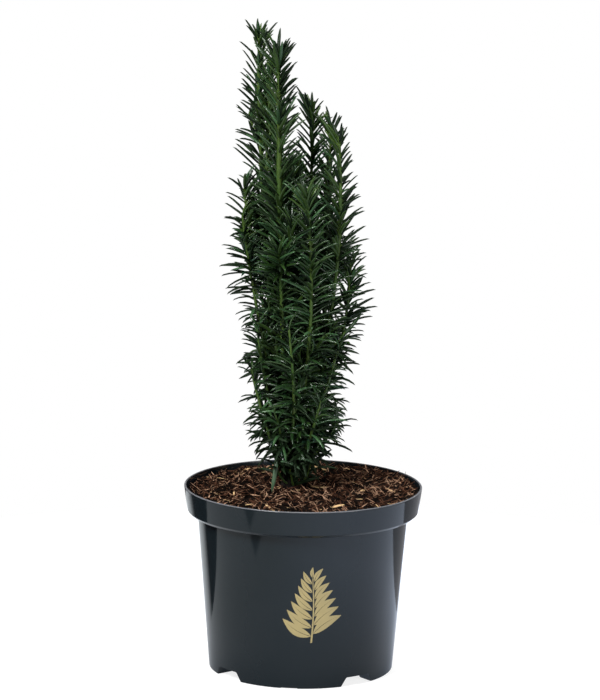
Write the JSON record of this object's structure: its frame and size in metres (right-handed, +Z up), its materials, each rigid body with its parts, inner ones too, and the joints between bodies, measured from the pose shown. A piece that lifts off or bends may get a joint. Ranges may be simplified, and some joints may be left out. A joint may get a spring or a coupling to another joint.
{
  "type": "potted yew shrub",
  "caption": "Young upright yew: needled shoots fan out from a short forked trunk that stands in potting bark, in a round plastic nursery pot with a deep collar.",
  "frame": {"origin": "centre of the pot's underside, on the surface that it stands on", "axes": "+Z up, -Y towards the front, +X to the right"},
  "size_m": [0.19, 0.19, 0.5203],
  "materials": {
    "pot_plastic": "semi-gloss moulded anthracite plastic",
    "potting_bark": "loose shredded bark and coir, matt",
    "trunk_bark": "thin flaking brown bark, matt",
    "shoot_bark": "smooth young green-brown bark, satin",
    "needles": "waxy dark green needles, satin"
  },
  "bodies": {
    "root": {"pot": "pot_plastic", "potting_bark": "potting_bark", "trunk": "trunk_bark", "bough_left_back_leader": "shoot_bark", "bough_left_front_leader": "shoot_bark", "bough_middle_leader": "shoot_bark", "bough_right_back_leader": "shoot_bark", "bough_right_leader": "shoot_bark", "bough_front_leader": "shoot_bark", "bough_left_outer_shoot": "shoot_bark", "bough_right_outer_shoot": "shoot_bark", "bough_front_low_shoot": "shoot_bark", "bough_left_low_shoot": "shoot_bark", "bough_right_low_shoot": "shoot_bark", "bough_front_left_shoot": "shoot_bark", "bough_front_right_shoot": "shoot_bark", "bough_right_base_shoot": "shoot_bark", "bough_left_base_shoot": "shoot_bark", "bough_back_leader": "shoot_bark", "bough_back_right_shoot": "shoot_bark", "bough_back_left_shoot": "shoot_bark", "bough_back_middle_shoot": "shoot_bark", "bough_back_low_shoot": "shoot_bark", "foliage_left_back_leader": "needles", "foliage_left_front_leader": "needles", "foliage_middle_leader": "needles", "foliage_right_back_leader": "needles", "foliage_right_leader": "needles", "foliage_front_leader": "needles", "foliage_left_outer_shoot": "needles", "foliage_right_outer_shoot": "needles", "foliage_front_low_shoot": "needles", "foliage_left_low_shoot": "needles", "foliage_right_low_shoot": "needles", "foliage_front_left_shoot": "needles", "foliage_front_right_shoot": "needles", "foliage_right_base_shoot": "needles", "foliage_left_base_shoot": "needles", "foliage_back_leader": "needles", "foliage_back_right_shoot": "needles", "foliage_back_left_shoot": "needles", "foliage_back_middle_shoot": "needles", "foliage_back_low_shoot": "needles"}
  },
  "joints": []
}
